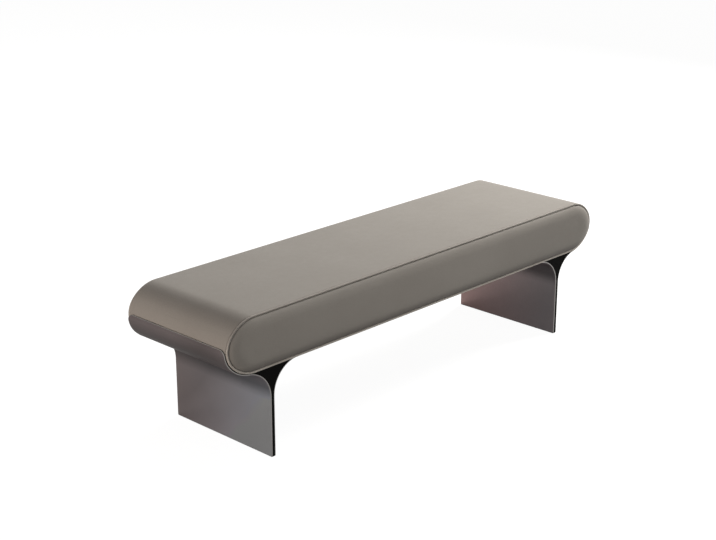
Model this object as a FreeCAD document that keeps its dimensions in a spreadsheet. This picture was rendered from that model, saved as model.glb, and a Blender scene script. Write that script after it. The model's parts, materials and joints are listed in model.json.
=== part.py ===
import FreeCAD, Part
import math
import os
import re
import Sketcher
from FreeCAD import Vector

# Bed bench: a long upholstered seat with rounded ends on two metal-clad trumpet legs.
# Millimetres. X runs along the bench, Y across it, Z up.
# The origin is on the floor under the middle of the seat.

doc = FreeCAD.newDocument("bed_bench")

# Driving sizes

sizes = doc.addObject("Spreadsheet::Sheet", "Sizes")
driving = [
    ("overall_length", 1600, "over the metal at the two ends"),
    ("overall_width", 430, "over the crowned side panels"),
    ("seat_height", 430, "floor to the top of the seat"),
    ("cushion_thickness", 162, "underside to top of the seat"),
    ("end_reach", 98, "length of each rounded end"),
    ("nose_radius", 66, "curve at the tip of a rounded end"),
    ("piping_diameter", 6, "leather piping round each side panel"),
    ("panel_gap", 0.4, "piping to the edge of a side panel"),
    ("crown_height", 10, "side panel standing proud of the piping"),
    ("crown_roll", 34, "width over which a side panel rolls to flat"),
    ("cover_thickness", 1.5, "leather, and the lining under the seat"),
    ("cover_tuck", 20, "leather folded under the seat"),
    ("leg_setback", 160, "outer face of a leg back from the end of the bench"),
    ("leg_thickness", 15, "leg from face to face"),
    ("sheet_thickness", 3, "metal sheet"),
    ("flare_radius", 87, "visible bend at the top of a leg"),
    ("flange_length", 64, "flat flange inboard of the bend"),
    ("cradle_gap", 3, "cushion end to metal"),
    ("cradle_rise", 8, "top edge of the metal end over the middle of the seat's thickness"),
    ("corner_radius", 20, "corners of the metal end"),
    ("edge_chamfer", 2.2, "eased visible edges of the sheets"),
    ("liner_setback", 8, "liner below the top edge of the metal end"),
    ("foot_pad_thickness", 2, "strip under a leg"),
    ("foot_pad_inset", 1.5, "strip back from the faces of a leg"),
    ("gusset_thickness", 12, "black infill plates in the flare"),
    ("gusset_setback", 1, "black infill back from the sheet edges"),
    ("gusset_tip_cut", 22, "thin tip of the infill left off"),
    ("base_thickness", 15, "base board"),
    ("rail_thickness", 18, "upright rails of the seat frame"),
    ("rail_height", 75, "upright rails of the seat frame"),
    ("side_pad_depth", 18, "piping to the frame side"),
    ("frame_end_gap", 6, "frame end back from the start of the rounded end"),
    ("webbing_width", 60, "elastic strap"),
    ("webbing_thickness", 2, "elastic strap"),
    ("screw_end_inset", 64, "first and last flange screw in from the edge of the leg"),
    ("screw_diameter", 6, "flange screw"),
    ("screw_length", 20, "flange screw under its head"),
    ("hole_play", 0.6, "screw hole over screw"),
    ("head_diameter", 12, "screw head"),
    ("head_height", 3.3, "screw head"),
    ("washer_diameter", 14, "washer"),
    ("washer_thickness", 1.2, "washer"),
    ("insert_diameter", 8, "barrel of a tee nut"),
    ("insert_length", 11, "barrel of a tee nut"),
    ("insert_flange", 17, "flange of a tee nut"),
    ("insert_flange_thickness", 1.5, "flange of a tee nut"),
    ("insert_play", 0.2, "board hole over barrel, and barrel bore over screw"),
    ("contact_gap", 0.2, "clearance between curved faces that meet"),
]
for row, (alias, value, note) in enumerate(driving, start=1):
    sizes.set(f"A{row}", note)
    sizes.set(f"B{row}", str(value))
    sizes.setAlias(f"B{row}", alias)

cross_rail_count = 5
webbing_count = 8
screw_count = 4
crown_ring_count = 7

# Sizes worked out from the driving ones

worked = doc.addObject("Spreadsheet::Sheet", "Worked")
formulas = [
    ("side_plane", "overall_width / 2 - crown_height"),
    ("band_half_width", "side_plane - piping_diameter"),
    ("half_thickness", "cushion_thickness / 2"),
    ("underside", "seat_height - cushion_thickness"),
    ("middle_height", "seat_height - half_thickness"),
    ("cushion_half", "overall_length / 2 - sheet_thickness - cradle_gap"),
    ("flat_half", "cushion_half - end_reach"),
    ("nose_centre", "cushion_half - nose_radius"),
    ("nose_rise", "half_thickness - nose_radius"),
    ("nose_run", "end_reach - nose_radius"),
    ("cradle_height", "middle_height + cradle_rise"),
    ("shoulder_radius", "(nose_run^2 + half_thickness^2 - nose_radius^2) / (2 * nose_rise)"),
    ("join_run_share", "nose_run / (shoulder_radius - nose_radius)"),
    ("join_rise_share", "(shoulder_radius - half_thickness) / (shoulder_radius - nose_radius)"),
    ("low_centre", "underside + shoulder_radius"),
    ("leg_depth", "2 * band_half_width"),
    ("outer_face", "overall_length / 2 - leg_setback"),
    ("inner_face", "outer_face - leg_thickness"),
    ("back_radius", "flare_radius + sheet_thickness"),
    ("inner_bend_centre", "inner_face - flare_radius"),
    ("inner_bend_height", "underside - back_radius"),
    ("outer_bend_centre", "outer_face + flare_radius"),
    ("cradle_radius", "shoulder_radius + cradle_gap + sheet_thickness"),
    ("bend_distance", "flare_radius + cradle_radius"),
    ("bend_run", "outer_bend_centre - flat_half"),
    ("outer_bend_height", "low_centre - sqrt(bend_distance^2 - bend_run^2)"),
    ("turn_run_share", "bend_run / bend_distance"),
    ("turn_rise_share", "(low_centre - outer_bend_height) / bend_distance"),
    ("core_top", "max(inner_bend_height; outer_bend_height)"),
    ("frame_half_length", "flat_half - frame_end_gap"),
    ("frame_half_width", "side_plane - side_pad_depth"),
    ("base_bottom", "underside + cover_thickness"),
    ("base_top", "base_bottom + base_thickness"),
    ("rail_top", "base_top + rail_height"),
    ("foam_bottom", "rail_top + webbing_thickness"),
    ("foam_top", "seat_height - cover_thickness"),
    ("screw_row", "inner_bend_centre - flange_length / 2"),
    ("head_top", "underside - sheet_thickness - washer_thickness"),
    ("panel_offset", "piping_diameter + panel_gap"),
    ("panel_edge_plane", "side_plane - piping_diameter / 2"),
]
home = {alias: "Sizes" for alias, _, _ in driving}
home.update({alias: "Worked" for alias, _ in formulas})


def spelled(expression, inside=None):
    """The expression with each size named by its sheet."""
    def full_name(match):
        word = match.group(0)
        sheet = home.get(word)
        return word if sheet is None or sheet == inside else f"{sheet}.{word}"
    return re.sub(r"[a-z_]+", full_name, expression)


for row, (alias, formula) in enumerate(formulas, start=1):
    worked.set(f"A{row}", "=" + spelled(formula, inside="Worked"))
    worked.setAlias(f"A{row}", alias)
doc.recompute()


def number(expression):
    """What an expression of sizes comes to, in millimetres."""
    result = sizes.evalExpression(spelled(str(expression)))
    return float(getattr(result, "Value", result))


# Sketches, pads and primitives bound to the sheets


def origin_plane(body, role):
    return next(plane for plane in body.Origin.OriginFeatures if plane.Role == role)


def new_sketch(body, name, role):
    sketch = body.newObject("Sketcher::SketchObject", name)
    sketch.AttachmentSupport = (origin_plane(body, role), [""])
    sketch.MapMode = "FlatFace"
    return sketch


def pin(sketch, direction, element, point, expression):
    """Holds one coordinate of a point at an expression of sizes."""
    index = sketch.addConstraint(
        Sketcher.Constraint(direction, -1, 1, element, point, number(expression))
    )
    sketch.setExpression(f"Constraints[{index}]", spelled(expression))


def arc_between(start, end, radius, turn):
    """The arc under a half circle from start to end that turns left (1) or right (-1)."""
    chord = end - start
    middle = (start + end) / 2
    rise = math.sqrt(max(radius**2 - (chord.Length / 2) ** 2, 0))
    sideways = Vector(-chord.y, chord.x, 0).normalize()
    centre = middle + sideways * rise * turn
    first, last = (start, end) if turn > 0 else (end, start)
    angles = [math.atan2(point.y - centre.y, point.x - centre.x) for point in (first, last)]
    circle = Part.Circle(centre, Vector(0, 0, 1), radius)
    return Part.ArcOfCircle(circle, angles[0], angles[1])


def draw_outline(sketch, path):
    """Draws a closed outline. A step is (x, y), or (x, y, radius, turn) for an arc that ends there."""
    corners = [Vector(number(step[0]), number(step[1]), 0) for step in path]
    ends = []
    for index, step in enumerate(path):
        start = corners[index - 1]
        end = corners[index]
        if len(step) == 2:
            element = sketch.addGeometry(Part.LineSegment(start, end), False)
            ends.append((element, 1, 2))
        else:
            radius, turn = step[2], step[3]
            element = sketch.addGeometry(arc_between(start, end, number(radius), turn), False)
            ends.append((element, 1, 2) if turn > 0 else (element, 2, 1))
            held = sketch.addConstraint(Sketcher.Constraint("Radius", element, number(radius)))
            sketch.setExpression(f"Constraints[{held}]", spelled(radius))
    for index, (element, first, last) in enumerate(ends):
        before, _, before_last = ends[index - 1]
        sketch.addConstraint(
            Sketcher.Constraint("Coincident", before, before_last, element, first)
        )
        pin(sketch, "DistanceX", element, last, path[index][0])
        pin(sketch, "DistanceY", element, last, path[index][1])


def extrusion(label, path, depth, shift=None):
    """A body whose side view is the path, padded evenly across the bench about the shift."""
    body = doc.addObject("PartDesign::Body", label)
    sketch = new_sketch(body, f"{label}_outline", "XZ_Plane")
    if shift is not None:
        sketch.setExpression(".AttachmentOffset.Base.z", spelled(shift))
    draw_outline(sketch, path)
    pad = body.newObject("PartDesign::Pad", f"{label}_pad")
    pad.Profile = sketch
    pad.SideType = "Symmetric"
    pad.setExpression("Length", spelled(depth))
    doc.recompute()
    return body


def drill(body, places, diameter):
    """Round holes straight down through a body, at the given places."""
    sketch = new_sketch(body, f"{body.Label}_hole_places", "XY_Plane")
    for x_place, y_place in places:
        centre = Vector(number(x_place), number(y_place), 0)
        circle = Part.Circle(centre, Vector(0, 0, 1), number(diameter) / 2)
        element = sketch.addGeometry(circle, False)
        held = sketch.addConstraint(
            Sketcher.Constraint("Diameter", element, number(diameter))
        )
        sketch.setExpression(f"Constraints[{held}]", spelled(diameter))
        pin(sketch, "DistanceX", element, 3, x_place)
        pin(sketch, "DistanceY", element, 3, y_place)
    before = body.Shape.Volume
    pocket = body.newObject("PartDesign::Pocket", f"{body.Label}_holes")
    pocket.Profile = sketch
    pocket.SideType = "Symmetric"
    pocket.Type = "ThroughAll"
    doc.recompute()
    if not body.Shape.Volume < before:
        raise RuntimeError(f"the holes of {body.Label} cut nothing")
    return body


def block(label, low, high):
    """A square-edged piece between two corners."""
    piece = doc.addObject("Part::Box", label)
    for side, first, last in zip(("Length", "Width", "Height"), low, high):
        piece.setExpression(side, spelled(f"({last}) - ({first})"))
    for axis, first in zip("xyz", low):
        piece.setExpression(f".Placement.Base.{axis}", spelled(first))
    return piece


def rod(name, place, bottom, height, diameter):
    """An upright cylinder."""
    piece = doc.addObject("Part::Cylinder", name)
    piece.setExpression("Radius", spelled(f"({diameter}) / 2"))
    piece.setExpression("Height", spelled(height))
    for axis, value in zip("xyz", (*place, bottom)):
        piece.setExpression(f".Placement.Base.{axis}", spelled(value))
    return piece


def group(label, members):
    """Identical separate solids under one name."""
    gathered = doc.addObject("Part::Compound", label)
    gathered.Links = members
    return gathered


# The outline of the seat seen from the front, at a distance inside its outer surface


def join_point(side, level, inset):
    """Where the nose arc meets a shoulder arc. Level is 1 above the middle and -1 below it."""
    run = f"(nose_radius - ({inset})) * join_run_share"
    rise = f"(nose_radius - ({inset})) * join_rise_share"
    return f"{side} * (nose_centre + {run})", f"middle_height + {level} * {rise}"


def end_up(inset):
    """Round the right end, from the underside up to the top."""
    return [
        (*join_point(1, -1, inset), f"shoulder_radius - ({inset})", 1),
        (*join_point(1, 1, inset), f"nose_radius - ({inset})", 1),
        ("flat_half", f"seat_height - ({inset})", f"shoulder_radius - ({inset})", 1),
    ]


def end_down(inset):
    """Round the left end, from the top down to the underside."""
    return [
        (*join_point(-1, 1, inset), f"shoulder_radius - ({inset})", 1),
        (*join_point(-1, -1, inset), f"nose_radius - ({inset})", 1),
        ("-flat_half", f"underside + ({inset})", f"shoulder_radius - ({inset})", 1),
    ]


def seat_loop(inset):
    """The whole closed outline of the seat."""
    return [
        ("flat_half", f"underside + ({inset})"),
        *end_up(inset),
        ("-flat_half", f"seat_height - ({inset})"),
        *end_down(inset),
    ]


def reversed_path(path, start):
    """The same steps walked backwards, ending at the start point."""
    steps = []
    for index in reversed(range(len(path))):
        target = path[index - 1][:2] if index > 0 else start
        arc = path[index][2:]
        turned_arc = (arc[0], -arc[1]) if arc else ()
        steps.append((*target, *turned_arc))
    return steps


def mirrored(path, side):
    """The path for the right (1) or left (-1) end of the bench."""
    if side > 0:
        return path
    turned = []
    for x_place, height, *arc in path:
        turned_arc = (arc[0], -arc[1]) if arc else ()
        turned.append((f"-({x_place})", height, *turned_arc))
    return turned


# Seat frame: base board, rails, cross rails and webbing

span = "frame_half_length"
half = "frame_half_width"
sides = (("left", -1), ("right", 1))


def screw_places(side):
    """The flange screws of one leg, evenly spaced about the middle."""
    run = "(leg_depth / 2 - screw_end_inset)"
    shares = [2 * index / (screw_count - 1) - 1 for index in range(screw_count)]
    return [(f"{side} * screw_row", f"{share} * {run}") for share in shares]


all_screw_places = screw_places(-1) + screw_places(1)
base_outline = [
    (f"-{span}", "base_bottom"),
    (span, "base_bottom"),
    (span, "base_top"),
    (f"-{span}", "base_top"),
]
base_board = extrusion("base_board", base_outline, f"2 * {half}")
drill(base_board, all_screw_places, "insert_diameter + insert_play")

inner_half = f"{half} - rail_thickness"
block("front_rail", (f"-{span}", f"-{half}", "base_top"), (span, f"-({inner_half})", "rail_top"))
block("rear_rail", (f"-{span}", inner_half, "base_top"), (span, half, "rail_top"))
for index in range(cross_rail_count):
    place_share = 2 * index / (cross_rail_count - 1) - 1
    middle = f"{place_share} * ({span} - rail_thickness / 2)"
    block(
        f"cross_rail_{index + 1}",
        (f"{middle} - rail_thickness / 2", f"-({inner_half})", "base_top"),
        (f"{middle} + rail_thickness / 2", inner_half, "rail_top"),
    )
for index in range(webbing_count):
    place_share = (2 * index + 1) / webbing_count - 1
    middle = f"{place_share} * {span}"
    block(
        f"webbing_strap_{index + 1}",
        (f"{middle} - webbing_width / 2", f"-{half}", "rail_top"),
        (f"{middle} + webbing_width / 2", half, "foam_bottom"),
    )

# Foam and leather of the seat

block("seat_foam", (f"-{span}", f"-{half}", "foam_bottom"), (span, half, "foam_top"))
for name, side in sides:
    foam_outline = [
        (span, "base_bottom"),
        ("flat_half", "base_bottom"),
        *end_up("cover_thickness"),
        (span, "foam_top"),
    ]
    extrusion(f"{name}_end_foam", mirrored(foam_outline, side), f"2 * {half}")

tuck = "flat_half - cover_tuck"
cover_outside = [
    ("flat_half", "underside"),
    *end_up("0"),
    ("-flat_half", "seat_height"),
    *end_down("0"),
    (f"-({tuck})", "underside"),
]
cover_inside = [
    ("flat_half", "base_bottom"),
    *end_up("cover_thickness"),
    ("-flat_half", "foam_top"),
    *end_down("cover_thickness"),
    (f"-({tuck})", "base_bottom"),
]
cover_outline = [
    (tuck, "underside"),
    *cover_outside,
    (f"-({tuck})", "base_bottom"),
    *reversed_path(cover_inside, (tuck, "base_bottom")),
]
extrusion("top_cover", cover_outline, "2 * band_half_width")

lining_end = f"{tuck} - contact_gap"
lining_outline = [
    (f"-({lining_end})", "underside"),
    (lining_end, "underside"),
    (lining_end, "base_bottom"),
    (f"-({lining_end})", "base_bottom"),
]
dust_cover = extrusion("dust_cover", lining_outline, "2 * band_half_width")
drill(dust_cover, all_screw_places, "screw_diameter + hole_play")


def loop_wire(inset, plane):
    """The seat outline at an inset, as a wire across the bench at a plane."""
    path = seat_loop(inset)
    corners = [Vector(number(step[0]), number(step[1]), 0) for step in path]
    edges = []
    for index, step in enumerate(path):
        start = corners[index - 1]
        end = corners[index]
        if len(step) == 2:
            edges.append(Part.LineSegment(start, end).toShape())
        else:
            edges.append(arc_between(start, end, number(step[2]), step[3]).toShape())
    wire = Part.Wire(edges)
    wire.rotate(Vector(0, 0, 0), Vector(1, 0, 0), 90)
    wire.translate(Vector(0, plane, 0))
    return wire


def ringed_solid(rings, side):
    """A closed solid through rings of the seat outline, each an (inset, plane)."""
    wires = [loop_wire(inset, side * plane) for inset, plane in rings]
    solid = Part.makeLoft(wires, True, True)
    if solid.Volume < 0:
        solid.reverse()
    return solid


def crown_rings(edge_inset, roll, rise):
    """Rings of the quarter-round roll from the edge of a side panel to its flat middle."""
    plane = number("panel_edge_plane")
    rings = []
    for index in range(crown_ring_count + 1):
        angle = math.radians(90 * index / crown_ring_count)
        rings.append((edge_inset + roll * (1 - math.cos(angle)), plane + rise * math.sin(angle)))
    return rings


cover = number("cover_thickness")
crown_rise = number("overall_width / 2 - panel_edge_plane")
panel_rings = crown_rings(number("panel_offset"), number("crown_roll"), crown_rise)
pad_rings = crown_rings(
    number("panel_offset") + cover, number("crown_roll") - cover, crown_rise - cover
)
pad_root_rings = [
    (cover, number("frame_half_width")),
    (cover, number("band_half_width")),
]
pad_crown_rings = [(number("panel_offset") + cover, number("band_half_width")), *pad_rings]
for name, side in (("front", -1), ("rear", 1)):
    pad = doc.addObject("Part::Feature", f"{name}_side_foam")
    pad_root = ringed_solid(pad_root_rings, side)
    pad.Shape = pad_root.fuse(ringed_solid(pad_crown_rings, side))
    skin = doc.addObject("Part::Feature", f"{name}_side_panel")
    skin.Shape = ringed_solid(panel_rings, side).cut(ringed_solid(pad_rings, side))

    piping = doc.addObject("PartDesign::Body", f"{name}_piping")
    route = new_sketch(piping, f"{name}_piping_route", "XZ_Plane")
    route.setExpression(".AttachmentOffset.Base.z", spelled(f"{-side} * panel_edge_plane"))
    draw_outline(route, seat_loop("piping_diameter / 2"))
    ring = new_sketch(piping, f"{name}_piping_section", "YZ_Plane")
    ring_height = "seat_height - piping_diameter / 2"
    ring_place = Vector(side * number("panel_edge_plane"), number(ring_height), 0)
    circle = Part.Circle(ring_place, Vector(0, 0, 1), number("piping_diameter") / 2)
    element = ring.addGeometry(circle, False)
    held = ring.addConstraint(
        Sketcher.Constraint("Diameter", element, number("piping_diameter"))
    )
    ring.setExpression(f"Constraints[{held}]", spelled("piping_diameter"))
    pin(ring, "DistanceX", element, 3, f"{side} * panel_edge_plane")
    pin(ring, "DistanceY", element, 3, ring_height)
    doc.recompute()
    pipe = piping.newObject("PartDesign::AdditivePipe", f"{name}_piping_pipe")
    pipe.Profile = ring
    pipe.Spine = (route, [f"Edge{index + 1}" for index in range(len(seat_loop("0")))])
    doc.recompute()

# Legs: two bent sheets back to back round a black core


def cradle_join(reach):
    """Where the nose and shoulder arcs of the metal end meet, at a reach outside the seat."""
    return join_point(1, -1, f"-({reach})")


def cradle_tip(reach, height):
    """The point of the nose arc outside the seat at a height."""
    radius = f"(nose_radius + {reach})"
    return f"nose_centre + sqrt({radius}^2 - ({height} - middle_height)^2)", height


def turn_point(radius):
    """Where the bend of the outer sheet runs over into the metal end."""
    return (
        f"outer_bend_centre - {radius} * turn_run_share",
        f"outer_bend_height + {radius} * turn_rise_share",
    )


def edges_where(body, test):
    """Names of the edges of a body whose every point passes the test."""
    names = []
    for index, edge in enumerate(body.Shape.Edges, start=1):
        if all(test(point) for point in edge.discretize(5)):
            names.append(f"Edge{index}")
    return names


def near(value, target):
    return abs(value - target) < number("contact_gap") / 4


def on_outer_face(side, point):
    """Whether a point lies on the face of the outer sheet that shows."""
    reach = number("cradle_gap + sheet_thickness")
    x_place = side * point.x
    bend = math.hypot(
        x_place - number("outer_bend_centre"), point.z - number("outer_bend_height")
    )
    shoulder = math.hypot(x_place - number("flat_half"), point.z - number("low_centre"))
    nose = math.hypot(x_place - number("nose_centre"), point.z - number("middle_height"))
    return (
        near(x_place, number("outer_face"))
        or near(bend, number("flare_radius"))
        or near(shoulder, number("shoulder_radius") + reach)
        or near(nose, number("nose_radius") + reach)
    )


def on_inner_face(side, point):
    """Whether a point lies on the face of the inner sheet that shows."""
    x_place = side * point.x
    bend = math.hypot(
        x_place - number("inner_bend_centre"), point.z - number("inner_bend_height")
    )
    return (
        near(x_place, number("inner_face"))
        or near(bend, number("flare_radius"))
        or near(point.z, number("underside - sheet_thickness"))
    )


def dress(body, feature, names, size_name, size):
    """A fillet or chamfer on named edges of the body's tip."""
    before = body.Tip
    dressing = body.newObject(f"PartDesign::{feature}", f"{body.Label}_{feature.lower()}")
    dressing.Base = (before, names)
    dressing.setExpression(size_name, spelled(size))
    doc.recompute()


leg_half = number("leg_depth / 2")
corner_start = number("leg_depth / 2 - corner_radius - contact_gap")
foot = "foot_pad_thickness"
outer_reach = "(cradle_gap + sheet_thickness)"
outer_sheet_path = [
    ("outer_face", foot),
    ("outer_face", "outer_bend_height"),
    (*turn_point("flare_radius"), "flare_radius", -1),
    (*cradle_join(outer_reach), "cradle_radius", 1),
    (*cradle_tip(outer_reach, "cradle_height"), f"nose_radius + {outer_reach}", 1),
    cradle_tip("cradle_gap", "cradle_height"),
    (*cradle_join("cradle_gap"), "nose_radius + cradle_gap", -1),
    (*turn_point("back_radius"), "shoulder_radius + cradle_gap", -1),
    ("outer_face - sheet_thickness", "outer_bend_height", "back_radius", 1),
    ("outer_face - sheet_thickness", foot),
]
inner_sheet_path = [
    ("inner_face", foot),
    ("inner_face", "inner_bend_height"),
    ("inner_bend_centre", "underside - sheet_thickness", "flare_radius", 1),
    ("inner_bend_centre - flange_length", "underside - sheet_thickness"),
    ("inner_bend_centre - flange_length", "underside"),
    ("inner_bend_centre", "underside"),
    ("inner_face + sheet_thickness", "inner_bend_height", "back_radius", -1),
    ("inner_face + sheet_thickness", foot),
]
core_path = [
    ("inner_face + sheet_thickness", foot),
    ("outer_face - sheet_thickness", foot),
    ("outer_face - sheet_thickness", "core_top"),
    ("inner_face + sheet_thickness", "core_top"),
]
tip = "(inner_bend_centre + gusset_tip_cut)"
gusset_foot = "inner_bend_centre + sqrt(back_radius^2 - (core_top - inner_bend_height)^2)"
gusset_path = [
    (gusset_foot, "core_top", "back_radius", -1),
    ("outer_bend_centre - sqrt(back_radius^2 - (core_top - outer_bend_height)^2)", "core_top"),
    ("flat_half", "outer_bend_height + sqrt(back_radius^2 - bend_run^2)", "back_radius", -1),
    ("flat_half", "underside"),
    (tip, "underside"),
    (tip, f"inner_bend_height + sqrt(back_radius^2 - ({tip} - inner_bend_centre)^2)"),
]
liner_top = "cradle_height - liner_setback"
liner_outer = "(cradle_gap - contact_gap)"
liner_path = [
    ("flat_half", f"underside - {liner_outer}"),
    (*cradle_join(liner_outer), f"shoulder_radius + {liner_outer}", 1),
    (*cradle_tip(liner_outer, liner_top), f"nose_radius + {liner_outer}", 1),
    cradle_tip("contact_gap", liner_top),
    (*cradle_join("contact_gap"), "nose_radius + contact_gap", -1),
    ("flat_half", "underside - contact_gap", "shoulder_radius + contact_gap", -1),
]
gusset_run = "(leg_depth / 2 - gusset_setback - gusset_thickness / 2)"
gusset_places = (
    ("front", gusset_run),
    ("middle", "0"),
    ("rear", f"-{gusset_run}"),
)

for name, side in sides:
    outer_sheet = extrusion(f"{name}_outer_sheet", mirrored(outer_sheet_path, side), "leg_depth")
    tip_edges = edges_where(
        outer_sheet,
        lambda point: near(point.z, number("cradle_height")) and near(abs(point.y), leg_half),
    )
    dress(outer_sheet, "Fillet", tip_edges, "Radius", "corner_radius")
    rim_edges = edges_where(
        outer_sheet,
        lambda point: on_outer_face(side, point)
        and (abs(point.y) > corner_start or near(point.z, number("cradle_height"))),
    )
    dress(outer_sheet, "Chamfer", rim_edges, "Size", "edge_chamfer")

    inner_sheet = extrusion(f"{name}_inner_sheet", mirrored(inner_sheet_path, side), "leg_depth")

    inner_rim = edges_where(
        inner_sheet, lambda point: on_inner_face(side, point) and near(abs(point.y), leg_half)
    )
    dress(inner_sheet, "Chamfer", inner_rim, "Size", "edge_chamfer")
    drill(inner_sheet, screw_places(side), "screw_diameter + hole_play")

    extrusion(f"{name}_core_panel", mirrored(core_path, side), "leg_depth - 2 * gusset_setback")
    for place, shift in gusset_places:
        extrusion(
            f"{name}_{place}_gusset", mirrored(gusset_path, side), "gusset_thickness", shift
        )
    extrusion(
        f"{name}_cradle_liner", mirrored(liner_path, side), "leg_depth - 2 * corner_radius"
    )
    pad_sides = sorted(
        (f"{side} * (inner_face + foot_pad_inset)", f"{side} * (outer_face - foot_pad_inset)"),
        key=number,
    )
    block(
        f"{name}_foot_pad",
        (pad_sides[0], "-(leg_depth / 2 - foot_pad_inset)", "0"),
        (pad_sides[1], "leg_depth / 2 - foot_pad_inset", foot),
    )

# Fasteners: a screw, washer and tee nut at each hole of the flanges


def ring_part(name, place, bottom, height, diameter, bore):
    """An upright washer or sleeve."""
    body = rod(f"{name}_body", place, bottom, height, diameter)
    hole = rod(f"{name}_bore", place, bottom, height, bore)
    cut = doc.addObject("Part::Cut", name)
    cut.Base = body
    cut.Tool = hole
    return cut


def screw_part(name, place):
    """A flange screw, its head below the washer."""
    shank = rod(f"{name}_shank", place, "head_top", "screw_length", "screw_diameter")
    head = rod(f"{name}_head", place, "head_top - head_height", "head_height", "head_diameter")
    fused = doc.addObject("Part::Fuse", name)
    fused.Base = shank
    fused.Tool = head
    return fused


def insert_part(name, place):
    """A tee nut: its flange on the base board and its barrel in the board."""
    bore = "screw_diameter + insert_play"
    flange = ring_part(
        f"{name}_flange", place, "base_top", "insert_flange_thickness", "insert_flange", bore
    )
    barrel = ring_part(
        f"{name}_barrel", place, "base_top - insert_length", "insert_length",
        "insert_diameter", bore,
    )
    fused = doc.addObject("Part::Fuse", name)
    fused.Base = flange
    fused.Tool = barrel
    return fused


for name, side in sides:
    screws, washers, inserts = [], [], []
    for index, place in enumerate(screw_places(side), start=1):
        screws.append(screw_part(f"{name}_screw_{index}", place))
        washers.append(ring_part(
            f"{name}_washer_{index}", place, "head_top", "washer_thickness",
            "washer_diameter", "screw_diameter + hole_play",
        ))
        inserts.append(insert_part(f"{name}_insert_{index}", place))
    group(f"{name}_flange_screws", screws)
    group(f"{name}_flange_washers", washers)
    group(f"{name}_tee_nuts", inserts)
doc.recompute()

# Check and write every sub-part

nodes = [
    "base_board", "front_rail", "rear_rail",
    *[f"cross_rail_{index + 1}" for index in range(cross_rail_count)],
    *[f"webbing_strap_{index + 1}" for index in range(webbing_count)],
    "seat_foam", "left_end_foam", "right_end_foam", "front_side_foam", "rear_side_foam",
    "top_cover", "front_side_panel", "rear_side_panel", "front_piping", "rear_piping",
    "dust_cover",
]
leg_pieces = (
    "outer_sheet", "inner_sheet", "core_panel", "front_gusset", "middle_gusset", "rear_gusset",
    "cradle_liner", "foot_pad", "flange_screws", "flange_washers", "tee_nuts",
)
nodes += [f"{name}_{piece}" for name, _ in sides for piece in leg_pieces]

for item in doc.Objects:
    if {"Invalid", "Error"} & set(item.State):
        raise RuntimeError(f"{item.Label} failed: {item.State}")
os.makedirs("parts", exist_ok=True)
for node in nodes:
    shape = doc.getObjectsByLabel(node)[0].Shape
    if shape.isNull() or not shape.isValid() or shape.Volume <= 0:
        raise RuntimeError(f"{node} has no sound solid")
    shape.exportStep(f"parts/{node}.step")
    print(f"{node}: {len(shape.Solids)} solid(s), {shape.Volume / 1000:.1f} cm3")
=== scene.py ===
import json
import math

import bmesh
import bpy
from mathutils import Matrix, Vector


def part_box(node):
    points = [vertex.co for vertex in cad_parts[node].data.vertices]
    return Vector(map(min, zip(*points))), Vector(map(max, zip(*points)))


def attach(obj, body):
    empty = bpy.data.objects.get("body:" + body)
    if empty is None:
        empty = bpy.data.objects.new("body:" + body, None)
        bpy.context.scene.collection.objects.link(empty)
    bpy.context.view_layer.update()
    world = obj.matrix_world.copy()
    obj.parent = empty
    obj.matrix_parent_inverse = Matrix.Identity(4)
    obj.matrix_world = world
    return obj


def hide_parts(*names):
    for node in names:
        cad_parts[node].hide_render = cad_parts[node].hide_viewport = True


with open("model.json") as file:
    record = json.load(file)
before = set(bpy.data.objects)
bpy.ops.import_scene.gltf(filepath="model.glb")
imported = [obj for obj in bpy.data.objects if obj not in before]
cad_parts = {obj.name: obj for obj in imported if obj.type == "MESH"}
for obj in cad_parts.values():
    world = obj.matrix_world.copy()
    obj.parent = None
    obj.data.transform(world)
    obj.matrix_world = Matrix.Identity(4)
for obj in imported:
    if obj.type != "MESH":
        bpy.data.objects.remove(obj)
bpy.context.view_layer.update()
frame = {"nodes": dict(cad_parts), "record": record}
bpy.ops.object.select_all(action="DESELECT")
print("frame:", len(frame["nodes"]), "CAD nodes")

# the camera and the light

camera = {
    "place": (-3.1017, -2.8877, 1.8022),
    "turn": 46.148,  # degrees round from the front of the bench
    "tilt": 19.154,  # degrees down
    "lens": 74.609,
    "sensor": 36,
}
highLamp = {
    "name": "highLamp",
    "place": (3.4, -0.08, 2.5),
    "size": (2.4, 2.4),
    "power": 257,
    "color": (1, 1, 0.985),
}
leftLamp = {
    "name": "leftLamp",
    "place": (-3.5, 0.4, 0.6),
    "size": (2.0, 0.8),
    "power": 50,
    "color": (1, 0.91, 0.85),
}
frontLamp = {
    "name": "frontLamp",
    "place": (0.6, -4.0, 1.5),
    "size": (2.4, 1.6),
    "power": 24.5,
    "color": (1, 1, 0.985),
}
studio = {
    "aim": (0, 0, 0.38),
    "floorSize": 160,
    "floorColor": (0.22, 0.216, 0.212, 1),
    "floorRough": 0.9,
    "floorGlow": 0.938,  # what the camera sees on top of the lit floor
    "floorMirror": 0.1,  # what reflections see on top of it
    "skyColor": (1, 1, 1, 1),
    "skyLight": 0.18,  # how strongly the sky lights the bench
    "skyMirror": 0.3,
}


def addCamera(setup):
    turned = (math.radians(90 - setup["tilt"]), 0, -math.radians(setup["turn"]))
    bpy.ops.object.camera_add(location=setup["place"], rotation=turned)
    eye = bpy.context.object
    eye.data.sensor_width = setup["sensor"]
    eye.data.lens = setup["lens"]
    bpy.context.scene.camera = eye


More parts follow.
